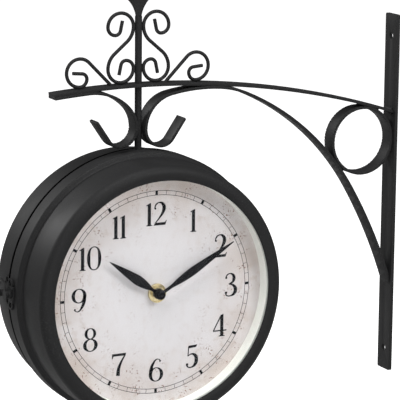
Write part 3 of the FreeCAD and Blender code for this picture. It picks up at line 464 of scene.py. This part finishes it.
def metal(name, tint, dull, low, high):
    """Bare metal with fine turning marks round the dial's axis and a few dull patches."""
    material, tree, shader = new_finish(name, Metallic=1.0)
    where = place(tree, (1, 0.1, 1), (-CLOCK_X, 0, -CLOCK_Z))
    patch = noise(tree, where, 5.0, 4.0)
    feed(tree, blend(tree, spread(tree, patch, 0.45, 0.8, 0.0, 0.5), tint, dull), shader.inputs["Base Color"])
    marks = noise(tree, where, 0.35, 2.0)
    feed(tree, spread(tree, marks, 0.3, 0.7, low, high), shader.inputs["Roughness"])
    rough_skin(tree, shader, marks, 0.2, 0.02)
    return material


def seam_rubber():
    """Matt near black for the strip that paints the shade in the gap between the halves, with a little chalky
    bloom.
    """
    material, tree, shader = new_finish("seam_rubber", Roughness=0.9, Specular_IOR_Level=0.0)
    bloom = noise(tree, place(tree), 2.5, 4.0)
    share = spread(tree, bloom, 0.5, 0.8, 0.0, 0.5)
    feed(tree, blend(tree, share, colours().rubber, colours().rubber_bloom), shader.inputs["Base Color"])
    rough_skin(tree, shader, bloom, 0.3, 0.08)
    return material


def moulded_plastic():
    material, tree, shader = new_finish("movement_plastic", Specular_IOR_Level=0.4)
    where = place(tree)
    grain = noise(tree, where, 0.6, 2.0)
    feed(tree, blend(tree, spread(tree, noise(tree, where, 12.0), 0.4, 0.8, 0.0, 0.5), colours().plastic,
                     colours().paint_dust), shader.inputs["Base Color"])
    feed(tree, spread(tree, grain, 0.3, 0.7, 0.38, 0.55), shader.inputs["Roughness"])
    rough_skin(tree, shader, grain, 0.3, 0.06)
    return material


def battery_jacket(side):
    """Plain jacket with a copper band at the button end and bare steel ends."""
    material, tree, shader = new_finish(side + "_battery_jacket", Roughness=0.3)
    low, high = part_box(side + "_battery")
    split = add(tree, "SeparateXYZ")
    tree.links.new(place(tree), split.inputs[0])
    button, other = (high.x, low.x) if side == "front" else (low.x, high.x)
    along = spread(tree, split.outputs[0], other, button)
    copper = spread(tree, along, 0.735, 0.745)
    base = blend(tree, copper, colours().jacket, colours().brass)
    ends = combined(tree, spread(tree, along, 0.995, 0.998), spread(tree, along, 0.002, 0.005, 1.0, 0.0), "ADD")
    scuff = spread(tree, noise(tree, place(tree, (0.2, 1, 1)), 2.0), 0.6, 0.85, 0.0, 0.4)
    base = blend(tree, scuff, blend(tree, ends, base, colours().zinc), colours().zinc)
    feed(tree, base, shader.inputs["Base Color"])
    bare = combined(tree, copper, combined(tree, ends, scuff, "MAXIMUM"), "MAXIMUM")
    feed(tree, bare, shader.inputs["Metallic"])
    return material


FINISHES = {}


def finish_of(slot, side="front"):
    """The material of one of the record's slots, made when it is first asked for."""
    key = slot + "_" + side if slot == "battery_jacket" else slot
    if key not in FINISHES:
        c = colours()
        FINISHES[key] = {
            "black_satin": black_paint,
            "printed_dial": printed_dial,
            "cream_ring": cream_ring,
            "clear_glass": clear_glass,
            "black_hands": black_hands,
            "brass": lambda: metal("turned_brass", c.brass, c.brass_dull, 0.24, 0.40),
            "zinc_steel": lambda: metal("zinc_plate", c.zinc, c.zinc_dull, 0.28, 0.45),
            "movement_case": moulded_plastic,
            "battery_jacket": lambda: battery_jacket(side),
            "ink": print_ink,
            "rubber": seam_rubber,
        }[slot]()
    return FINISHES[key]


# --- the dial's print ----------------------------------------------------------
def pen_outline(path):
    """Both edges of a pen stroke, and which of their points are corners."""
    left, right = [], []
    weight = sizes().pen_weight
    for i, (x, y, width) in enumerate(path):
        ax, ay, _ = path[max(i - 1, 0)]
        bx, by, _ = path[min(i + 1, len(path) - 1)]
        reach = math.hypot(bx - ax, by - ay)
        u, v = (ay - by) / reach * width * weight / 2, (bx - ax) / reach * width * weight / 2
        left.append((x + u, y + v))
        right.append((x - u, y - v))
    count = len(path)
    return left + right[::-1], {0, count - 1, count, 2 * count - 1}


def oval(centre, half):
    (x, y), (a, b) = centre, half
    return [(x, y + b), (x + a, y), (x, y - b), (x - a, y)], set()


def outlines(shape):
    """Closed outlines of one part of a digit, each with the set of its corners."""
    kind, *facts = shape
    if kind == "pen":
        return [pen_outline(facts)]
    if kind == "ball":
        return [oval(facts[0], (facts[1], facts[1]))]
    if kind == "ring":
        centre, (a, b), (side, top) = facts
        side, top = side * sizes().pen_weight, top * sizes().pen_weight
        return [oval(centre, (a, b)), oval(centre, (a - side, b - top))]
    return [(facts, set(range(len(facts))))]


def drawn(shape, height, rise, upside_down):
    """One part of a digit as a thin filled mesh."""
    data = bpy.data.curves.new("digit_part", "CURVE")
    data.dimensions, data.fill_mode, data.resolution_u = "2D", "BOTH", 10
    data.extrude = rise / 2.0
    for points, corners in outlines(shape):
        line = data.splines.new("BEZIER")
        line.bezier_points.add(len(points) - 1)
        line.use_cyclic_u = True
        for i, (x, y) in enumerate(points):
            if upside_down:
                x, y = DIGITS["9"][0] - x, 1.0 - y
            knot = line.bezier_points[i]
            knot.co = (x * height, y * height, 0)
            knot.handle_left_type = knot.handle_right_type = "VECTOR" if i in corners else "AUTO"
    part = bpy.data.objects.new("digit_part", data)
    bpy.context.scene.collection.objects.link(part)
    only(part)
    bpy.ops.object.convert(target="MESH")
    return bpy.context.object


def digit(letter):
    s = sizes()
    parts = [drawn(shape, s.numeral_height, s.ink_rise, letter == "9") for shape in DIGITS[letter][1]]
    return joined("digit_" + letter, parts)


def numeral_place(hour):
    s = sizes()
    angle = math.radians(30.0 * hour)
    radius = s.numeral_radius + s.numeral_spread * math.sin(angle) ** 2
    return radius * math.sin(angle), radius * math.cos(angle)


class CLOCK_OT_numerals(bpy.types.Operator):
    """Draw the twelve hour numerals and print them on both dials"""
    bl_idname = "clock.numerals"
    bl_label = "Hour numerals"

    def execute(self, context):
        s = sizes()
        masters = {letter: digit(letter) for letter in DIGITS}
        parts = []
        for hour in range(1, 13):
            text = str(hour)
            wide = sum(DIGITS[t][0] for t in text) * s.numeral_height + s.digit_gap * (len(text) - 1)
            x, y = numeral_place(hour)
            x -= wide / 2
            for t in text:
                part = copied(masters[t], "numeral_part")
                put(part, Matrix.Translation((x, y - s.numeral_height / 2, 0)))
                x += DIGITS[t][0] * s.numeral_height + s.digit_gap
                parts.append(part)
        only(*masters.values())
        bpy.ops.object.delete()
        whole = joined("front_numerals", parts)
        if not whole.data.polygons:
            raise RuntimeError("the numerals have no faces")
        twin = copied(whole, "rear_numerals")
        for side, obj in zip(SIDES, (whole, twin)):
            put(obj, on_dial(side, s.ink_rise / 2))
            finished(obj, CARRIER[side], finish_of("ink"))
        return {"FINISHED"}


MINUTES, HOURS = 60, 12
# The minute lines are finer than the circles by this share. Lines, circles and blocks end at
# different heights, so that no two of their upper faces lie in one plane.
LINE_WIDTH, LINE_RISE, BLOCK_RISE = 0.8, 0.9, 1.1


def ray_of_marks(count, width, low, high, rise):
    """Bars that point at the centre, spread evenly round it."""
    only()
    bpy.ops.mesh.primitive_cube_add(size=1.0)
    obj = bpy.context.object
    put(obj, Matrix.Translation((0, (low + high) / 2, rise / 2))
        @ Matrix.Diagonal((width, high - low, rise, 1)))
    bpy.ops.object.mode_set(mode="EDIT")
    bpy.ops.mesh.select_all(action="SELECT")
    bpy.ops.mesh.spin(steps=count - 1, dupli=True, angle=math.tau * (count - 1) / count, center=(0, 0, 0),
                      axis=(0, 0, 1))
    bpy.ops.object.mode_set(mode="OBJECT")
    return obj


class CLOCK_OT_minute_track(bpy.types.Operator):
    """Print the minute track, two fine circles with lines and a block at each hour, on both dials"""
    bl_idname = "clock.minute_track"
    bl_label = "Minute track"

    def execute(self, context):
        s = sizes()
        parts = [hoop(radius + s.line_width / 2, s.line_width, s.ink_rise)
                 for radius in (s.track_inner, s.track_outer)]
        for count, width, rise in ((MINUTES, s.line_width * LINE_WIDTH, LINE_RISE),
                                   (HOURS, s.block_width, BLOCK_RISE)):
            parts.append(ray_of_marks(count, width, s.track_inner, s.track_outer, s.ink_rise * rise))
        whole = joined("front_minute_track", parts)
        if len(whole.data.polygons) < (MINUTES + HOURS) * 6:
            raise RuntimeError("the minute track lacks marks")
        twin = copied(whole, "rear_minute_track")
        for side, obj in zip(SIDES, (whole, twin)):
            put(obj, on_dial(side))
            finished(obj, CARRIER[side], finish_of("ink"))
        return {"FINISHED"}


# --- bars, seam and screws --------------------------------------------------------
FLAT_PIECES = ("wall_bar", "arm", "brace", "left_scroll", "corner_ring", "finial")


def softened(name):
    """The bar again, its mesh merged, its sharp edges rounded and its bends shaded smooth."""
    node = NODES[name]
    bar = bpy.data.objects.new(name + "_rounded", node.data.copy())
    bpy.context.scene.collection.objects.link(bar)
    only(bar)
    bpy.ops.mesh.customdata_custom_splitnormals_clear()
    bpy.ops.object.mode_set(mode="EDIT")
    bpy.ops.mesh.select_all(action="SELECT")
    bpy.ops.mesh.remove_doubles(threshold=1e-6)
    bpy.ops.mesh.select_all(action="DESELECT")
    bpy.ops.mesh.edges_select_sharp(sharpness=math.radians(50))
    bpy.ops.mesh.bevel(offset=sizes().edge_round, segments=2, affect="EDGES", clamp_overlap=True)
    bpy.ops.object.mode_set(mode="OBJECT")
    bpy.ops.object.shade_smooth_by_angle(angle=math.radians(40))
    finished(bar, node["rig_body"], finish_of("black_satin"))
    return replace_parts(bar, name)


class CLOCK_OT_flat_bars(bpy.types.Operator):
    """Round the edges of the bracket's flat bars and its leaf"""
    bl_idname = "clock.flat_bars"
    bl_label = "Flat bars"

    def execute(self, context):
        for name in FLAT_PIECES:
            bar = softened(name)
            if len(bar.data.polygons) <= len(NODES[name].data.polygons) // 2:
                raise RuntimeError(name + " lost faces while its edges were rounded")
        return {"FINISHED"}


class CLOCK_OT_seam_strip(bpy.types.Operator):
    """Lay a dark strip on the door's rim, where the two halves meet, as painted shade of the gap between them
    """
    bl_idname = "clock.seam_strip"
    bl_label = "Seam strip"

    def execute(self, context):
        s = sizes()
        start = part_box("latch_plate_front")[1].y + s.strip_gap
        strip = hoop(s.strip_radius, s.strip_thick, s.strip_width)
        rounded(strip, s.strip_round, 2)
        put(strip, Matrix.Translation((CLOCK_X, start, CLOCK_Z)) @ Matrix.Rotation(-math.pi / 2, 4, "X"))
        strip.name = strip.data.name = "seam_strip"
        finished(strip, "rear_door", finish_of("rubber"))
        return {"FINISHED"}


# A screw's height is a share of its width. Its dome rises in steps, each an inset as a share of
# the half width and a lift as a share of the height. Each cut of the cross has its length and
# width as shares of the half width, and its depth and middle height as shares of the height.
SCREW_HEIGHT = 0.42
SCREW_DOME = ((0.20, 0.16), (0.30, 0.12))
CROSS_LENGTH, CROSS_WIDTH, CROSS_DEPTH, CROSS_MIDDLE = 1.15, 0.24, 0.9, 1.15
# Where the cover's screws sit, as shares of the reach from the dial's centre: two at the top and
# two above the battery bay. They stand in from the cover's edge by a share of their width, and
# each is turned by a first angle and a step, in radians.
COVER_SCREWS = ((-1, 1), (1, 1), (-1, -0.16), (1, -0.16))
SCREW_INSET, FIRST_TURN, NEXT_TURN = 1.4, 0.4, 1.1
# Height of the dish of a dial nut, as a share of the nut's.
NUT_DISH = 0.6


def cross_head_screw():
    """Pan head screw on +Z, with a cross cut into its domed head."""
    s = sizes()
    half, high = s.screw_head / 2, s.screw_head * SCREW_HEIGHT
    only()
    bpy.ops.mesh.primitive_cylinder_add(vertices=40, radius=half, depth=high, location=(0, 0, high / 2))
    screw = bpy.context.object
    bpy.ops.object.transform_apply(location=True)
    bpy.ops.object.mode_set(mode="EDIT")
    select_faces(screw, lambda face: face.normal.z > 0.9)
    for step, lift in SCREW_DOME:
        bpy.ops.mesh.inset(thickness=half * step)
        bpy.ops.transform.translate(value=(0, 0, high * lift))
    bpy.ops.object.mode_set(mode="OBJECT")
    for turn in (0, 1):
        only()
        bpy.ops.mesh.primitive_cube_add(size=1.0)
        blade = bpy.context.object
        put(blade, Matrix.Rotation(turn * math.pi / 2, 4, "Z")
            @ Matrix.Translation((0, 0, high * CROSS_MIDDLE))
            @ Matrix.Diagonal((half * CROSS_LENGTH, half * CROSS_WIDTH, high * CROSS_DEPTH, 1)))
        cut = screw.modifiers.new("cross", "BOOLEAN")
        cut.operation, cut.object, cut.solver = "DIFFERENCE", blade, "EXACT"
        only(screw)
        bpy.ops.object.modifier_apply(modifier=cut.name)
        bpy.data.objects.remove(blade)
    only(screw)
    bpy.ops.object.shade_smooth_by_angle(angle=math.radians(30))
    return screw


class CLOCK_OT_dial_nuts(bpy.types.Operator):
    """Turn the brass nuts of both dials, dished between a rim and a collar"""
    bl_idname = "clock.dial_nuts"
    bl_label = "Dial nuts"

    def execute(self, context):
        s = sizes()
        low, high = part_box("front_dial_nut")
        base, thick, half = DIAL_FACE["front"] - high.y, high.y - low.y, (high.x - low.x) / 2
        rim = hoop(half, s.nut_rim, thick)
        dish = hoop(half - s.nut_rim / 2, half - s.nut_bore - s.nut_rim, thick * NUT_DISH)
        collar = hoop(s.nut_bore + s.nut_rim, s.nut_rim, thick)
        nut = joined("front_dial_nut_turned", [rim, dish, collar])
        rounded(nut, s.nut_round, 3)
        if nut.dimensions.x > high.x - low.x + 1e-5:
            raise RuntimeError("the dial nut has grown")
        twin = copied(nut, "rear_dial_nut_turned")
        for side, obj in zip(SIDES, (nut, twin)):
            put(obj, on_dial(side, base))
            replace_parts(finished(obj, CARRIER[side], finish_of("brass")), side + "_dial_nut")
        return {"FINISHED"}


class CLOCK_OT_movement_screws(bpy.types.Operator):
    """Screw down the back cover of each movement"""
    bl_idname = "clock.movement_screws"
    bl_label = "Movement screws"

    def execute(self, context):
        master = cross_head_screw()
        for side in SIDES:
            low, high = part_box(side + "_movement")
            inward = 1.0 if side == "front" else -1.0
            back = high.y if side == "front" else low.y
            reach = (high.x - low.x) / 2 - sizes().screw_head * SCREW_INSET
            for k, (u, v) in enumerate(COVER_SCREWS):
                screw = copied(master, f"{side}_movement_screw_{k + 1}")
                put(screw, Matrix.Translation((CLOCK_X + u * reach, back, CLOCK_Z + v * reach))
                    @ Matrix.Rotation(-inward * math.pi / 2, 4, "X")
                    @ Matrix.Rotation(FIRST_TURN + k * NEXT_TURN, 4, "Z"))
                finished(screw, CARRIER[side], finish_of("zinc_steel"))
        only(master)
        bpy.ops.object.delete()
        return {"FINISHED"}


# --- finishes of the solids that are kept ---------------------------------------
def slot_nodes(*slots):
    """Kept solids of these slots, with the side of the clock they belong to."""
    for part in frame["record"]["subparts"]:
        if part["material_slot"] in slots:
            yield NODES[part["node"]], part["material_slot"], part["node"].split("_")[0]


def dress(*slots):
    for obj, slot, side in slot_nodes(*slots):
        obj.data.materials.clear()
        obj.data.materials.append(finish_of(slot, side))


class CLOCK_OT_paint(bpy.types.Operator):
    """Paint the bracket, the case, the hinge and the latch satin black"""
    bl_idname = "clock.paint"
    bl_label = "Black paint"

    def execute(self, context):
        dress("black_satin")
        return {"FINISHED"}


class CLOCK_OT_dial_finish(bpy.types.Operator):
    """Finish the dials, their spacer rings, the glasses and the hands"""
    bl_idname = "clock.dial_finish"
    bl_label = "Dials, glasses and hands"

    def execute(self, context):
        dress("printed_dial", "cream_ring", "clear_glass", "black_hands")
        return {"FINISHED"}


class CLOCK_OT_works_finish(bpy.types.Operator):
    """Finish the movements, batteries, clips, nuts and shafts"""
    bl_idname = "clock.works_finish"
    bl_label = "Movements and metal"

    def execute(self, context):
        dress("brass", "zinc_steel", "movement_case", "battery_jacket")
        return {"FINISHED"}


# --- stage ---------------------------------------------------------------------
def aim(obj, target):
    obj.rotation_mode = "QUATERNION"
    obj.rotation_quaternion = (Vector(target) - obj.location).to_track_quat("-Z", "Y")


def softbox(name, at, target, size, watts):
    data = bpy.data.lights.new(name, "AREA")
    data.shape, data.size, data.energy = "DISK", size, watts
    lamp = bpy.data.objects.new(name, data)
    bpy.context.scene.collection.objects.link(lamp)
    lamp.location = at
    aim(lamp, target)


def photo_camera():
    """Camera at the photograph's angle, worked out from the dial, the bars and the screw holes.

    In the photograph the clock leans against the wall bar; the roll shares that lean between them.
    """
    yaw, pitch, roll = (math.radians(v) for v in CAMERA_TURNS)
    back = Vector((math.sin(yaw) * math.cos(pitch), -math.cos(yaw) * math.cos(pitch), math.sin(pitch)))
    right = Vector((math.cos(yaw), math.sin(yaw), 0))
    up = back.cross(right)
    right, up = (math.cos(roll) * right + math.sin(roll) * up, math.cos(roll) * up - math.sin(roll) * right)
    data = bpy.data.cameras.new("photo_camera")
    data.lens, data.sensor_width, data.clip_end = CAMERA_LENS, SENSOR_WIDTH, FAR_LIMIT
    camera = bpy.data.objects.new("photo_camera", data)
    bpy.context.scene.collection.objects.link(camera)
    camera.matrix_world = (Matrix.Translation(CAMERA_PLACE)
                           @ Matrix((right, up, back)).transposed().to_4x4())
    bpy.context.scene.camera = camera


def seen_rays(tree):
    """1 for rays from the camera and through glass, otherwise 0."""
    path = add(tree, "LightPath")
    return combined(tree, path.outputs["Is Camera Ray"], path.outputs["Is Transmission Ray"], "MAXIMUM")


def studio_world():
    world = bpy.data.worlds.new("studio")
    bpy.context.scene.world = world
    world.use_nodes = True
    tree = world.node_tree
    light = tree.nodes["Background"]
    light.inputs["Color"].default_value = (1, 1, 1, 1)
    feed(tree, combined(tree, seen_rays(tree), WORLD_LIGHT, "MAXIMUM"), light.inputs["Strength"])


def studio_floor():
    drop = CAD_BOX[0].z - sizes().floor_drop
    only()
    bpy.ops.mesh.primitive_plane_add(size=FLOOR_SIZE, location=(0, 0, drop))
    floor = bpy.context.object
    floor.name = "studio_floor"
    material, tree, shader = new_finish("floor_paper", Roughness=0.9, Specular_IOR_Level=0.1,
                                        Emission_Color=(1, 1, 1, 1))
    patch = spread(tree, noise(tree, place(tree), 400.0), 0.3, 0.7, 0.0, 0.03)
    feed(tree, blend(tree, patch, colours().floor, colours().floor_patch), shader.inputs["Base Color"])
    feed(tree, combined(tree, seen_rays(tree), FLOOR_GLOW), shader.inputs["Emission Strength"])
    floor.data.materials.append(material)


class CLOCK_OT_stage(bpy.types.Operator):
    """Set up the camera, the soft studio light and the pale floor"""
    bl_idname = "clock.stage"
    bl_label = "Stage"

    def execute(self, context):
        context.scene.view_settings.view_transform = "Standard"
        photo_camera()
        studio_world()
        studio_floor()
        # The overhead lamp is aimed at mid height of the wall bar, the others at the dial's centre.
        for name, at, size, watts in LAMPS:
            target = (CLOCK_X, 0, 0 if name == "overhead" else CLOCK_Z)
            softbox(name, at, target, size, watts)
        return {"FINISHED"}


STEPS = (CLOCK_OT_stage, CLOCK_OT_paint, CLOCK_OT_flat_bars, CLOCK_OT_seam_strip, CLOCK_OT_dial_finish,
         CLOCK_OT_numerals, CLOCK_OT_minute_track, CLOCK_OT_works_finish, CLOCK_OT_dial_nuts,
         CLOCK_OT_movement_screws)


class CLOCK_PT_build(bpy.types.Panel):
    """Steps that finish the clock, in order"""
    bl_label = "Station clock"
    bl_idname = "CLOCK_PT_build"
    bl_space_type = "VIEW_3D"
    bl_region_type = "UI"
    bl_category = "Clock"

    def draw(self, context):
        column = self.layout.column()
        for step in STEPS:
            column.operator(step.bl_idname)


CLASSES = (ClockSizes, ClockColours, *STEPS, CLOCK_PT_build)


def register():
    for cls in CLASSES:
        bpy.utils.register_class(cls)
    bpy.types.Scene.clock_sizes = bpy.props.PointerProperty(type=ClockSizes)
    bpy.types.Scene.clock_colours = bpy.props.PointerProperty(type=ClockColours)


def unregister():
    del bpy.types.Scene.clock_colours
    del bpy.types.Scene.clock_sizes
    for cls in reversed(CLASSES):
        bpy.utils.unregister_class(cls)


def main():
    register()
    for step in STEPS:
        group, name = step.bl_idname.split(".")
        getattr(getattr(bpy.ops, group), name)()


if __name__ == "__main__":
    main()
